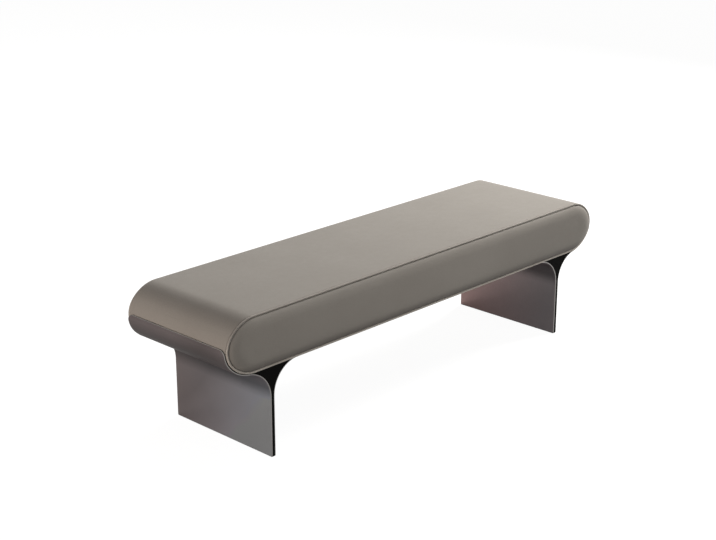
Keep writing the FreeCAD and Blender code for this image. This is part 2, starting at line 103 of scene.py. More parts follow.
def addLamp(lamp, target):
    aim = Vector(target) - Vector(lamp["place"])
    turned = aim.to_track_quat("-Z", "Y").to_euler()
    bpy.ops.object.light_add(type="AREA", location=lamp["place"], rotation=turned)
    light = bpy.context.object
    light.name = lamp["name"]
    light.visible_glossy = False  # gloss mirrors the pale floor and sky, not the lamps
    light.data.shape = "RECTANGLE"
    light.data.size, light.data.size_y = lamp["size"]
    light.data.energy = lamp["power"]
    light.data.color = lamp["color"]


def mathNode(tree, operation, first, second):
    # joins two sockets or numbers
    node = tree.nodes.new("ShaderNodeMath")
    node.operation = operation
    for socket, value in zip(node.inputs, (first, second)):
        if isinstance(value, (int, float)):
            socket.default_value = value
        else:
            tree.links.new(value, socket)
    return node.outputs[0]


def seenGlow(tree, direct, mirrored):
    # one strength for what the camera sees, another for reflections and transmission, else 0
    path = tree.nodes.new("ShaderNodeLightPath")
    glossy, through = path.outputs["Is Glossy Ray"], path.outputs["Is Transmission Ray"]
    bent = mathNode(tree, "MAXIMUM", glossy, through)
    toEye = mathNode(tree, "MULTIPLY", path.outputs["Is Camera Ray"], direct)
    return mathNode(tree, "ADD", toEye, mathNode(tree, "MULTIPLY", bent, mirrored))


def addFloor(setup):
    bpy.ops.mesh.primitive_plane_add(size=setup["floorSize"])
    floor = bpy.context.object
    floor.name = "floor"
    paint = bpy.data.materials.new("paleFloor")
    paint.use_nodes = True
    tree = paint.node_tree
    shader = tree.nodes["Principled BSDF"]
    shader.inputs["Base Color"].default_value = setup["floorColor"]
    shader.inputs["Roughness"].default_value = setup["floorRough"]
    shader.inputs["Specular IOR Level"].default_value = 0
    shader.inputs["Emission Color"].default_value = setup["skyColor"]
    glow = seenGlow(tree, setup["floorGlow"], setup["floorMirror"])
    tree.links.new(glow, shader.inputs["Emission Strength"])
    floor.data.materials.append(paint)


def addSky(setup):
    world = bpy.data.worlds.new("studio")
    bpy.context.scene.world = world
    world.use_nodes = True
    tree = world.node_tree
    glow = tree.nodes["Background"]
    glow.inputs["Color"].default_value = setup["skyColor"]
    extra = seenGlow(tree, 1 - setup["skyLight"], setup["skyMirror"] - setup["skyLight"])
    tree.links.new(mathNode(tree, "ADD", extra, setup["skyLight"]), glow.inputs["Strength"])


addCamera(camera)
for lamp in (highLamp, leftLamp, frontLamp):
    addLamp(lamp, studio["aim"])
addFloor(studio)
addSky(studio)
bpy.context.scene.view_settings.view_transform = "Standard"
print("studio: camera, lamps, floor and sky")

# what the finishes are made with


def newFinish(name):
    finish = bpy.data.materials.new(name)
    finish.use_nodes = True
    tree = finish.node_tree
    return finish, tree, tree.nodes["Principled BSDF"]


def placed(tree, stretch=(1, 1, 1)):
    # object coordinates, stretched
    source = tree.nodes.new("ShaderNodeTexCoord")
    mapping = tree.nodes.new("ShaderNodeMapping")
    mapping.inputs["Scale"].default_value = stretch
    tree.links.new(source.outputs["Object"], mapping.inputs["Vector"])
    return mapping.outputs["Vector"]


def alongAxes(tree, vector):
    split = tree.nodes.new("ShaderNodeSeparateXYZ")
    tree.links.new(vector, split.inputs[0])
    return split.outputs["X"], split.outputs["Y"], split.outputs["Z"]


def noise(tree, vector, scale, detail, roughness=0.5):
    texture = tree.nodes.new("ShaderNodeTexNoise")
    texture.inputs["Scale"].default_value = scale
    texture.inputs["Detail"].default_value = detail
    texture.inputs["Roughness"].default_value = roughness
    tree.links.new(vector, texture.inputs["Vector"])
    return texture.outputs["Fac"]


def remap(tree, value, low, high, start=0.3, end=0.7):
    # from low at start to high at end, level beyond them; noise mostly runs from 0.3 to 0.7
    node = tree.nodes.new("ShaderNodeMapRange")
    node.inputs["From Min"].default_value = start
    node.inputs["From Max"].default_value = end
    node.inputs["To Min"].default_value = low
    node.inputs["To Max"].default_value = high
    tree.links.new(value, node.inputs["Value"])
    return node.outputs["Result"]


def blendColors(tree, fac, first, second):
    mix = tree.nodes.new("ShaderNodeMix")
    mix.data_type = "RGBA"
    tree.links.new(fac, mix.inputs["Factor"])
    for socket, color in ((mix.inputs["A"], first), (mix.inputs["B"], second)):
        if isinstance(color, tuple):
            socket.default_value = color
        else:
            tree.links.new(color, socket)
    return mix.outputs["Result"]


def toned(tree, color, paintedGain):
    # the gain it scales by is painted light and shade
    node = tree.nodes.new("ShaderNodeVectorMath")
    node.operation = "SCALE"
    tree.links.new(color, node.inputs[0])
    tree.links.new(paintedGain, node.inputs["Scale"])
    return node.outputs[0]


def raised(tree, height, distance, strength, under=None):
    bump = tree.nodes.new("ShaderNodeBump")
    bump.inputs["Strength"].default_value = strength
    bump.inputs["Distance"].default_value = distance
    tree.links.new(height, bump.inputs["Height"])
    if under is not None:
        tree.links.new(under, bump.inputs["Normal"])
    return bump.outputs["Normal"]


# the leather: one hide, in three copies for the cushion, the side panels and the piping, whose
# gains and tones are painted light and shade

leather = {
    "color": (0.372, 0.34, 0.304, 1),
    "darker": (0.35, 0.318, 0.283, 1),
    "valley": (0.28, 0.252, 0.222, 1),
    "valleyDepth": 0.45,
    "valleySpan": (0, 0.5),
    "pebble": 620,  # grains per metre
    "pebbleSmooth": 0.6,
    "pebbleSpan": (0.1, 0.75),
    "pebbleHeight": 0.00016,
    "pebbleStrength": 0.6,
    "crease": 45,
    "creaseDetail": 5,
    "creaseRough": 0.6,
    "creaseHeight": 0.0004,
    "creaseStrength": 0.35,
    "cloud": 5,
    "cloudDetail": 3,
    "roughLow": 0.42,
    "roughHigh": 0.56,
    "shine": 0.42,
    "sheenRough": 0.4,
    "seamShadeY": (0.2022, 0.2065),  # from the seam's painted shade to the plain tone, outwards
    # painted shade over the left end of the leather
    "leftEndShadeX": (-0.76, -0.7),
    "shoulderX": -0.738,
    "shoulderReach": (0.004, 0.036),  # the shoulder's shade fades over this, both ways
    "rightShadeX": (0.2, 0.54),
    "rightShadeZ": (0.388, 0.415),  # up over this the right end has no painted shade
}
cushionLook = {
    "name": "taupeLeather",
    "paintedGain": 1,
    "sheen": 0.12,
    "seamShadeTone": 1,
    "lowLightAndShade": 1,
    "lowLightAndShadeZ": (0.32, 0.4),
    "leftEndShadeTone": 0.92,
    "shoulderShadeTone": 0.72,
    "rightPaintedTone": 1,
}
panelLook = {
    "name": "panelLeather",
    "paintedGain": 1.08,
    "sheen": 0.1,
    "seamShadeTone": 0.74,
    "lowLightAndShade": 0.48,
    # painted shade low on the panel, above the bottom groove
    "lowLightAndShadeZ": (0.271, 0.3),
    "leftEndShadeTone": 0.93,
    "shoulderShadeTone": 1,
    "rightPaintedTone": 0.86,
}
pipingLook = {
    "name": "pipingLeather",
    "paintedGain": 1.12,
    "sheen": 0.35,
    "seamShadeTone": 1,
    # painted light low on the piping, along its bottom run
    "lowLightAndShade": 1.9,
    "lowLightAndShadeZ": (0.3, 0.4),
    "leftEndShadeTone": 0.9,
    "shoulderShadeTone": 1,
    "rightPaintedTone": 1,
}


def leatherFinish(setup, look):
    finish, tree, shader = newFinish(look["name"])
    spot = placed(tree)
    pebble = tree.nodes.new("ShaderNodeTexVoronoi")
    pebble.feature = "SMOOTH_F1"
    pebble.inputs["Scale"].default_value = setup["pebble"]
    pebble.inputs["Smoothness"].default_value = setup["pebbleSmooth"]
    tree.links.new(spot, pebble.inputs["Vector"])
    grain = remap(tree, pebble.outputs["Distance"], 1, 0, *setup["pebbleSpan"])
    cloud = noise(tree, spot, setup["cloud"], setup["cloudDetail"])
    soft = noise(tree, spot, setup["crease"], setup["creaseDetail"], setup["creaseRough"])
    hide = blendColors(tree, remap(tree, cloud, 0, 1), setup["color"], setup["darker"])
    valleys = remap(tree, grain, setup["valleyDepth"], 0, *setup["valleySpan"])
    pores = blendColors(tree, valleys, hide, setup["valley"])
    # painted shade where the hide dives into the piped seam; low down, painted shade on the side
    # panels and painted light on the piping
    x, y, z = alongAxes(tree, spot)
    across = mathNode(tree, "ABSOLUTE", y, 0)
    tone = remap(tree, across, look["seamShadeTone"] * look["paintedGain"], look["paintedGain"], *setup["seamShadeY"])
    tone = mathNode(tree, "MULTIPLY", tone, remap(tree, z, look["lowLightAndShade"], 1, *look["lowLightAndShadeZ"]))
    # painted shade: a little darker over the left end, most of all on its shoulder
    tone = mathNode(tree, "MULTIPLY", tone, remap(tree, x, look["leftEndShadeTone"], 1, *setup["leftEndShadeX"]))
    fromShoulder = mathNode(tree, "ABSOLUTE", mathNode(tree, "SUBTRACT", x, setup["shoulderX"]), 0)
    shade = remap(tree, fromShoulder, look["shoulderShadeTone"], 1, *setup["shoulderReach"])
    tone = mathNode(tree, "MULTIPLY", tone, shade)
    # painted shade: the side panels are a little darker towards the right end, but not on their
    # upper roll
    darkening = remap(tree, x, 0, 1 - look["rightPaintedTone"], *setup["rightShadeX"])
    darkening = mathNode(tree, "MULTIPLY", darkening, remap(tree, z, 1, 0, *setup["rightShadeZ"]))
    tone = mathNode(tree, "MULTIPLY", tone, mathNode(tree, "SUBTRACT", 1, darkening))
    tree.links.new(toned(tree, pores, tone), shader.inputs["Base Color"])
    rough = remap(tree, soft, setup["roughLow"], setup["roughHigh"])
    tree.links.new(rough, shader.inputs["Roughness"])
    shader.inputs["Specular IOR Level"].default_value = setup["shine"]
    shader.inputs["Sheen Weight"].default_value = look["sheen"]
    shader.inputs["Sheen Roughness"].default_value = setup["sheenRough"]
    creases = raised(tree, soft, setup["creaseHeight"], setup["creaseStrength"])
    pebbles = raised(tree, grain, setup["pebbleHeight"], setup["pebbleStrength"], creases)
    tree.links.new(pebbles, shader.inputs["Normal"])
    return finish


# the metal: dark bronze whose tints are painted reflection, cooler to the front, warmer to the
# rear and high up, and redder on the right leg, with a random drift

bronze = {
    "front": (0.445, 0.45, 0.49, 1),
    "rear": (0.5, 0.42, 0.415, 1),
    "rightFront": (0.49, 0.44, 0.45, 1),
    "rightRear": (0.6, 0.41, 0.395, 1),
    "rubbedAndHighlit": (0.78, 0.76, 0.74, 1),  # bare metal along the edges, made lighter still as a painted highlight
    "rubbedAndHighlitFrom": (0.3, 0.75),
    "cloud": 3.5,
    "cloudDetail": 3,
    "cloudDepth": 0.12,
    "leftY": (-0.16, 0.2),  # front tone to rear tone
    "rightY": (-0.16, 0.16),
    "warmZ": (0.2, 0.28),  # the rear tone all over above this
    "reflectionDullest": 1,  # painted reflection at its weakest: the left leg's upper rear
    "reflectionBrightest": 2.95,  # painted reflection at its strongest: its lower front
    "paintedReflectionSlope": (-0.24, 0.16),
    "innerSheetLight": 1.12,  # painted light and shade on the right leg's two sheets
    "outerSheetShade": 0.8,
    "coreX": (0.628, 0.636),
    # a painted highlight on the flange under the seat
    "flangeHighlightTone": 1.2,
    "flangeX": (0.575, 0.6),
    # painted shade in the bend
    "bendShadeTone": 0.48,
    "bendZ": (0.165, 0.203),
    "cradleLightFront": 0.16,  # painted light that the cradle of the seat gains on the bend
    "cradleLightRear": 0.44,
    "cradleY": (-0.15, 0.02),
    "cradleZ": (0.305, 0.345),
    "brush": (900, 12, 900),
    "brushDetail": 3,
    "brushRough": 0.6,
    "brushHeight": 0.00003,
    "brushStrength": 0.4,
    "roughLow": 0.3,
    "roughHigh": 0.38,
    "stretch": 0.25,
}


def bronzeFinish(setup):
    finish, tree, shader = newFinish("darkBronze")
    shader.inputs["Metallic"].default_value = 1
    spot = placed(tree)
    x, y, z = alongAxes(tree, spot)
    cloud = noise(tree, spot, setup["cloud"], setup["cloudDetail"])
    drift = mathNode(tree, "MULTIPLY", mathNode(tree, "SUBTRACT", cloud, 0.5), setup["cloudDepth"])
    depth = mathNode(tree, "ADD", y, drift)
    rearward = remap(tree, depth, 0, 1, *setup["leftY"])
    warmth = mathNode(tree, "MAXIMUM", rearward, remap(tree, z, 0, 1, *setup["warmZ"]))
    leftTone = blendColors(tree, warmth, setup["front"], setup["rear"])
    rightWarmth = remap(tree, depth, 0, 1, *setup["rightY"])
    rightPaintedTone = blendColors(tree, rightWarmth, setup["rightFront"], setup["rightRear"])
    onRight = mathNode(tree, "GREATER_THAN", x, 0)
    tone = blendColors(tree, onRight, leftTone, rightPaintedTone)
    # painted reflection: the left leg brighter towards its lower front; on the right leg painted
    # light on the inner sheet and painted shade on the outer
    low = mathNode(tree, "SUBTRACT", mathNode(tree, "MULTIPLY", depth, -1), z)
    paintedReflectionSlope = remap(tree, low, setup["reflectionDullest"], setup["reflectionBrightest"], *setup["paintedReflectionSlope"])
    paintedReflection = mathNode(tree, "MULTIPLY", paintedReflectionSlope, mathNode(tree, "SUBTRACT", 1, onRight))
    even = remap(tree, x, setup["innerSheetLight"], setup["outerSheetShade"], *setup["coreX"])
    paintedGain = mathNode(tree, "ADD", paintedReflection, mathNode(tree, "MULTIPLY", onRight, even))
    # painted shade in the bend, painted light again on the cradle and a painted highlight on the
    # flange
    bend = remap(tree, z, 1, setup["bendShadeTone"], *setup["bendZ"])
    onCradle = remap(tree, z, 0, 1, *setup["cradleZ"])
    cradleLight = remap(tree, depth, setup["cradleLightFront"], setup["cradleLightRear"], *setup["cradleY"])
    upper = mathNode(tree, "ADD", bend, mathNode(tree, "MULTIPLY", onCradle, cradleLight))
    paintedGain = mathNode(tree, "MULTIPLY", paintedGain, upper)
    along = mathNode(tree, "ABSOLUTE", x, 0)
    flangeHighlight = remap(tree, along, setup["flangeHighlightTone"], 0, *setup["flangeX"])
    paintedGain = mathNode(tree, "ADD", paintedGain, flangeHighlight)
    bright = toned(tree, tone, paintedGain)
    # the edges that face forwards, backwards or up are rubbed bare and carry a painted highlight
    surface = tree.nodes.new("ShaderNodeNewGeometry")
    _, across, up = alongAxes(tree, surface.outputs["Normal"])
    facing = mathNode(tree, "MAXIMUM", mathNode(tree, "ABSOLUTE", across, 0), up)
    edge = remap(tree, facing, 0, 1, *setup["rubbedAndHighlitFrom"])
    tree.links.new(blendColors(tree, edge, bright, setup["rubbedAndHighlit"]), shader.inputs["Base Color"])
    lines = placed(tree, setup["brush"])
    brush = noise(tree, lines, 1, setup["brushDetail"], setup["brushRough"])
    rough = remap(tree, brush, setup["roughLow"], setup["roughHigh"])
    tree.links.new(rough, shader.inputs["Roughness"])
    scratches = raised(tree, brush, setup["brushHeight"], setup["brushStrength"])
    tree.links.new(scratches, shader.inputs["Normal"])
    shader.inputs["Anisotropic"].default_value = setup["stretch"]
    return finish


# the finishes of the frame, the cloths and the small parts

blackWood = {
    "name": "blackWood",
    "first": (0.003, 0.003, 0.003, 1),
    "second": (0.008, 0.0075, 0.007, 1),
    "grain": (90, 90, 6),
    "grainDetail": 5,
    "grainRough": 0.65,
    "grainHeight": 0.0002,
    "grainStrength": 0.4,
    "rough": (0.6, 0.8),  # follows the grain
    "shine": 0.12,
}
plywood = {
    "name": "birchPlywood",
    "first": (0.56, 0.4, 0.24, 1),
    "second": (0.42, 0.27, 0.14, 1),
    "grain": (3, 60, 220),
    "grainDetail": 6,
    "grainRough": 0.6,
    "grainHeight": 0.0003,
    "grainStrength": 0.3,
    "rough": 0.65,
    "shine": 0.5,
}
webbing = {
    "name": "webbingCloth",
    "light": (0.03, 0.03, 0.032, 1),
    "dark": (0.008, 0.008, 0.009, 1),
    "threads": 260,
    "weaveHeight": 0.0003,
    "rough": 0.8,
}
lining = {
    "name": "blackLining",
    "light": (0.022, 0.022, 0.022, 1),
    "dark": (0.006, 0.006, 0.006, 1),
    "threads": 420,
    "weaveHeight": 0.0002,
    "rough": 0.9,
}
weaving = {"distortion": 0.4, "sheen": 0.2, "strength": 0.6}
foam = {
    "name": "creamFoam",
    "light": (0.7, 0.66, 0.55, 1),
    "dark": (0.55, 0.51, 0.42, 1),
}
felt = {
    "name": "greyFelt",
    "light": (0.04, 0.038, 0.036, 1),
    "dark": (0.02, 0.02, 0.02, 1),
}
footStrip = {
    "name": "blackFootStrip",
    "light": (0.02, 0.02, 0.02, 1),
    "dark": (0.01, 0.01, 0.01, 1),
}
fluff = {
    "hairs": 900,
    "detail": 6,
    "detailRough": 0.8,
    "height": 0.0004,
    "strength": 0.6,
    "rough": 0.95,
    "sheen": 0.3,
}
zinc = {
    "first": (0.56, 0.57, 0.58, 1),
    "second": (0.42, 0.43, 0.45, 1),
    "spangle": 350,
    "spangleDetail": 3,
    "roughLow": 0.28,
    "roughHigh": 0.42,
}


def woodFinish(setup):
    finish, tree, shader = newFinish(setup["name"])
    grain = noise(tree, placed(tree, setup["grain"]), 1, setup["grainDetail"], setup["grainRough"])
    tone = blendColors(tree, remap(tree, grain, 0, 1), setup["first"], setup["second"])
    tree.links.new(tone, shader.inputs["Base Color"])
    if isinstance(setup["rough"], tuple):
        tree.links.new(remap(tree, grain, *setup["rough"]), shader.inputs["Roughness"])
    else:
        shader.inputs["Roughness"].default_value = setup["rough"]
    relief = raised(tree, grain, setup["grainHeight"], setup["grainStrength"])
    tree.links.new(relief, shader.inputs["Normal"])
    shader.inputs["Specular IOR Level"].default_value = setup["shine"]
    return finish


def clothFinish(setup, making):
    # a woven cloth: two crossed sets of threads
    finish, tree, shader = newFinish(setup["name"])
    waves = []
    for direction in ("X", "Y"):
        wave = tree.nodes.new("ShaderNodeTexWave")
        wave.bands_direction = direction
        wave.inputs["Scale"].default_value = setup["threads"]
        wave.inputs["Distortion"].default_value = making["distortion"]
        tree.links.new(placed(tree), wave.inputs["Vector"])
        waves.append(wave.outputs["Fac"])
    weave = mathNode(tree, "MULTIPLY", *waves)
    tone = blendColors(tree, weave, setup["dark"], setup["light"])
    tree.links.new(tone, shader.inputs["Base Color"])
    shader.inputs["Roughness"].default_value = setup["rough"]
    shader.inputs["Sheen Weight"].default_value = making["sheen"]
    relief = raised(tree, weave, setup["weaveHeight"], making["strength"])
    tree.links.new(relief, shader.inputs["Normal"])
    return finish


def fluffyFinish(setup, surface):
    finish, tree, shader = newFinish(setup["name"])
    hairs = noise(
        tree, placed(tree), surface["hairs"], surface["detail"], surface["detailRough"],
    )
    tone = blendColors(tree, remap(tree, hairs, 0, 1), setup["dark"], setup["light"])
    tree.links.new(tone, shader.inputs["Base Color"])
    shader.inputs["Roughness"].default_value = surface["rough"]
    shader.inputs["Sheen Weight"].default_value = surface["sheen"]
    relief = raised(tree, hairs, surface["height"], surface["strength"])
    tree.links.new(relief, shader.inputs["Normal"])
    return finish


def zincFinish(setup):
    finish, tree, shader = newFinish("zincPlate")
    shader.inputs["Metallic"].default_value = 1
    spangle = noise(tree, placed(tree), setup["spangle"], setup["spangleDetail"])
    tone = blendColors(tree, remap(tree, spangle, 0, 1), setup["first"], setup["second"])
    tree.links.new(tone, shader.inputs["Base Color"])
    rough = remap(tree, spangle, setup["roughLow"], setup["roughHigh"])
    tree.links.new(rough, shader.inputs["Roughness"])
    return finish


finishes = {
    "leather": leatherFinish(leather, cushionLook),
    "leather_panel": leatherFinish(leather, panelLook),
    "leather_piping": leatherFinish(leather, pipingLook),
    "bronze_metal": bronzeFinish(bronze),
    "black_core": woodFinish(blackWood),
    "plywood": woodFinish(plywood),
    "webbing": clothFinish(webbing, weaving),
    "foam": fluffyFinish(foam, fluff),
    "lining": clothFinish(lining, weaving),
    "felt": fluffyFinish(felt, fluff),
    "foot_pad": fluffyFinish(footStrip, fluff),
    "zinc_steel": zincFinish(zinc),
}
print("finishes:", len(finishes))

# modelling helpers

nearly = 0.0001  # corners this close to a plane count as lying in it
weldReach = 0.00005


def makeActive(piece):
    bpy.ops.object.select_all(action="DESELECT")
    piece.select_set(True)
    bpy.context.view_layer.objects.active = piece


def editOnly(piece):
    makeActive(piece)
    bpy.ops.object.mode_set(mode="EDIT")


def settle(piece):
    # leaves edit mode and moves the piece's place into its mesh
    if bpy.context.object.mode == "EDIT":
        bpy.ops.object.mode_set(mode="OBJECT")
    makeActive(piece)
    bpy.ops.object.transform_apply(location=True, rotation=True, scale=True)


def addModifier(piece, kind):
    makeActive(piece)
    bpy.ops.object.modifier_add(type=kind)
    return piece.modifiers[-1]


def pick(piece, test, kind="VERT"):
    # in edit mode: selects the corners, edges or faces whose every corner passes
    bpy.ops.mesh.select_mode(type=kind)
    bpy.ops.mesh.select_all(action="DESELECT")
    mesh = bmesh.from_edit_mesh(piece.data)
    items = {"VERT": mesh.verts, "EDGE": mesh.edges, "FACE": mesh.faces}[kind]
    for item in items:
        corners = [item] if kind == "VERT" else item.verts
        if all(test(corner.co) for corner in corners):
            item.select = True
    mesh.select_flush_mode()
    bmesh.update_edit_mesh(piece.data)


def pickEdges(piece, test):
    # in edit mode: selects the edges that pass as a whole
    bpy.ops.mesh.select_mode(type="EDGE")
    bpy.ops.mesh.select_all(action="DESELECT")
    mesh = bmesh.from_edit_mesh(piece.data)
    for edge in mesh.edges:
        if test(edge):
            edge.select = True
    bmesh.update_edit_mesh(piece.data)


def cutLongEdges(piece, axis, length, cuts):
    # divides every edge that runs further than the length along the axis
    pickEdges(piece, lambda edge: abs(edge.verts[0].co[axis] - edge.verts[1].co[axis]) > length)
    bpy.ops.mesh.subdivide(number_cuts=cuts)


def run(x=0, y=0, z=0):
    bpy.ops.mesh.extrude_region_move(TRANSFORM_OT_translate={"value": (x, y, z)})


def turn(centre, degrees, steps):
    # positive turns from up towards the right end
    bpy.ops.mesh.spin(
        steps=steps, angle=-math.radians(degrees), center=(centre[0], 0, centre[1]),
        axis=(0, 1, 0), use_auto_merge=False,
    )


def weld():
    bpy.ops.mesh.select_all(action="SELECT")
    bpy.ops.mesh.remove_doubles(threshold=weldReach)


def faceOut():
    bpy.ops.mesh.select_all(action="SELECT")
    bpy.ops.mesh.normals_make_consistent(inside=False)


def copyTurned(piece):
    # the same piece for the other end or side: half a turn about the upright axis
    makeActive(piece)
    bpy.ops.object.duplicate(linked=False)
    other = bpy.context.object
    other.rotation_euler = (0, 0, math.pi)
    settle(other)
    return other


def puff(piece, setup, held):
    # blows the piece up as cloth with its sewn parts held,
    # then keeps the outward swell, capped and evened out
    corners = piece.data.vertices
    before = [corner.co.copy() for corner in corners]
    outward = [corner.normal.copy() for corner in corners]
    sewnCorners = [index for index, place in enumerate(before) if held(place)]
    sewn = piece.vertex_groups.new(name="sewn")
    sewn.add(sewnCorners, 1, "REPLACE")
    cloth = addModifier(piece, "CLOTH")
    cloth.settings.vertex_group_mass = sewn.name
    cloth.settings.use_pressure = True
    cloth.settings.uniform_pressure_force = setup["pressure"]
    cloth.settings.tension_stiffness = setup["stiffness"]
    cloth.settings.compression_stiffness = setup["stiffness"]
    cloth.settings.bending_stiffness = setup["bending"]
    cloth.settings.effector_weights.gravity = 0
    cloth.point_cache.frame_start = 1
    cloth.point_cache.frame_end = setup["frames"]
    for number in range(1, setup["frames"] + 1):
        bpy.context.scene.frame_set(number)
    bpy.ops.object.modifier_apply(modifier=cloth.name)
    bpy.context.scene.frame_set(1)
    swell = [(corner.co - place).dot(out) for corner, place, out in zip(corners, before, outward)]
    most = max(swell)
    swell = [setup["cap"] * math.tanh(max(height, 0) / setup["cap"]) for height in swell]
    near = [[] for _ in before]
    for edge in piece.data.edges:
        first, second = edge.vertices
        near[first].append(second)
        near[second].append(first)
    for _ in range(setup["evening"]):
        for index in sewnCorners:
            swell[index] = 0
        swell = [sum(swell[other] for other in others) / len(others) for others in near]
    for index in sewnCorners:
        swell[index] = 0
    for corner, place, out, height in zip(corners, before, outward, swell):
        corner.co = place + out * height
    piece.vertex_groups.clear()
    print(f"  swelled by up to {most * 1000:.1f} mm, kept {max(swell) * 1000:.1f} mm")


# the outline of the seat, worked out from the frame

cushionLow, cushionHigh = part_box("top_cover")
seat = {
    "endReach": 0.098,  # the round end begins this far from the end of the seat
    "noseRadius": 0.066,
    "halfLength": cushionHigh.x,
    "halfWidth": cushionHigh.y,
    "top": cushionHigh.z,
    "underside": cushionLow.z,
}
seat["middle"] = (seat["top"] + seat["underside"]) / 2
seat["halfThickness"] = (seat["top"] - seat["underside"]) / 2
seat["flatEnd"] = seat["halfLength"] - seat["endReach"]
seat["noseCentre"] = seat["halfLength"] - seat["noseRadius"]
noseRun = seat["endReach"] - seat["noseRadius"]
noseRise = seat["halfThickness"] - seat["noseRadius"]
seat["shoulderRadius"] = (
    noseRun**2 + seat["halfThickness"] ** 2 - seat["noseRadius"] ** 2
) / (2 * noseRise)
shoulderDrop = seat["shoulderRadius"] - seat["halfThickness"]
seat["noseAngle"] = math.degrees(math.atan2(shoulderDrop, noseRun))
seat["shoulderAngle"] = 90 - seat["noseAngle"]


def roundEnd(side, shoulderSteps, noseSteps):
    # a shoulder, the nose and a shoulder: top to underside on the right, back up on the left
    high = (side * seat["flatEnd"], seat["top"] - seat["shoulderRadius"])
    low = (side * seat["flatEnd"], seat["underside"] + seat["shoulderRadius"])
    first, last = (high, low) if side > 0 else (low, high)
    turn(first, seat["shoulderAngle"], shoulderSteps)
    turn((side * seat["noseCentre"], seat["middle"]), 2 * seat["noseAngle"], noseSteps)
    turn(last, seat["shoulderAngle"], shoulderSteps)


# the seat cushion: a U-shaped strip of leather swept right round, then closed

cushion = {
    "seamRoll": 0.0016,  # round of the leather where it dives into the piped seam
    "seamSegments": 3,
    "seamDepth": 0.0036,
    "tuck": 0.014,  # how far the leather is folded under before the lining
    "liningDepth": 0.0015,
    "cutsAcross": 30,
    "cutsAlong": 115,
    "shoulderSteps": 10,
    "noseSteps": 12,
    "heldRim": 0.004,
    "heldRise": 0.02,  # all below this height over the middle is held too
    "pressure": 4,
    "stiffness": 30,
    "bending": 8,
    "frames": 20,
    "cap": 0.0015,
    "evening": 12,
}


def makeCushion(setup):
    start = (-seat["flatEnd"] + setup["tuck"] / 2, 0, seat["underside"] + setup["seamDepth"] / 2)
    size = (setup["tuck"], 2 * seat["halfWidth"], setup["seamDepth"])
    bpy.ops.mesh.primitive_cube_add(size=1, location=start, scale=size)
    piece = bpy.context.object
    settle(piece)
    editOnly(piece)
    tuckEnd = -seat["flatEnd"] + setup["tuck"]
    seamTop = seat["underside"] + setup["seamDepth"]
    for openSide in (
        lambda co: co.z > seamTop - nearly,
        lambda co: co.x < -seat["flatEnd"] + nearly,
        lambda co: co.x > tuckEnd - nearly,
    ):
        pick(piece, openSide, "FACE")
        bpy.ops.mesh.delete(type="ONLY_FACE")
    # the cube's edges across the open side go too, then the two long corners are rounded
    pickEdges(piece, lambda edge: not edge.link_faces)
    bpy.ops.mesh.delete(type="EDGE")
    rim = seat["halfWidth"] - nearly
    foot = seat["underside"] + nearly
    for side in (-1, 1):
        pick(piece, lambda co: side * co.y > rim and co.z < foot, "EDGE")
        bpy.ops.mesh.bevel(
            offset=setup["seamRoll"], segments=setup["seamSegments"], affect="EDGES",
        )
    cutLongEdges(piece, 1, seat["halfWidth"], setup["cutsAcross"])
    # round the left end, along the top, round the right end, and back under the seat
    pick(piece, lambda co: co.x < -seat["flatEnd"] + nearly)
    roundEnd(-1, setup["shoulderSteps"], setup["noseSteps"])
    run(x=2 * seat["flatEnd"])
    roundEnd(1, setup["shoulderSteps"], setup["noseSteps"])
    run(x=-setup["tuck"])
    run(z=setup["liningDepth"])
    run(x=2 * tuckEnd)
    run(z=-setup["liningDepth"])
    cutLongEdges(piece, 0, seat["flatEnd"], setup["cutsAlong"])
    weld()
    faceOut()
    settle(piece)
    return piece


def cushionHeld(place):
    rim = abs(place.y) > seat["halfWidth"] - cushion["heldRim"]
    return rim or place.z < seat["middle"] + cushion["heldRise"]


seatCushion = makeCushion(cushion)
puff(seatCushion, cushion, cushionHeld)
print("seat cushion:", len(seatCushion.data.polygons), "faces")

# the piping: a ring of leather cord swept round the outline of the seat

pipingLow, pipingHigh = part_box("front_piping")
piping = {
    "radius": (pipingHigh.y - pipingLow.y) / 2,
    "plane": (pipingHigh.y + pipingLow.y) / 2,
    "sides": 16,
    "shoulderSteps": 16,
    "noseSteps": 20,
    "cutsAlong": 40,
}


def makePiping(setup):
    start = (-seat["flatEnd"], setup["plane"], seat["top"] - setup["radius"])
    bpy.ops.mesh.primitive_circle_add(
        vertices=setup["sides"], radius=setup["radius"],
        location=start, rotation=(0, math.pi / 2, 0),
    )
    piece = bpy.context.object
    settle(piece)
    editOnly(piece)
    bpy.ops.mesh.select_all(action="SELECT")
    run(x=2 * seat["flatEnd"])
    roundEnd(1, setup["shoulderSteps"], setup["noseSteps"])
    run(x=-2 * seat["flatEnd"])
    roundEnd(-1, setup["shoulderSteps"], setup["noseSteps"])
    weld()
    cutLongEdges(piece, 0, seat["flatEnd"], setup["cutsAlong"])
    faceOut()
    settle(piece)
    bpy.ops.object.shade_smooth()
    return piece


frontPiping = makePiping(piping)
rearPiping = copyTurned(frontPiping)
print("piping: two lengths")

# the side panels: a quarter-round roll swept round the outline, with a flat middle

panelLow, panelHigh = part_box("front_side_panel")
panel = {
    "edgeInset": seat["top"] - panelHigh.z,  # from the outline of the seat to the panel's edge
    "edgePlane": panelHigh.y,
    "face": panelLow.y,
    "roll": 0.034,
    "rollSides": 48,  # of the full circle
    "backDepth": 0.003,
    "flatReach": 0.0236,
    "flatSteps": 3,
    "middleCuts": 3,
    "shoulderSteps": 14,
    "noseSteps": 16,
    "cutsAlong": 115,
    "heldRim": 0.001,
    "swell": 0.0015,  # the roll starts lower by this much and the cloth fills it
    "pressure": 4,
    "stiffness": 30,
    "bending": 6,
    "frames": 20,
    "cap": 0.002,
    "evening": 30,
}


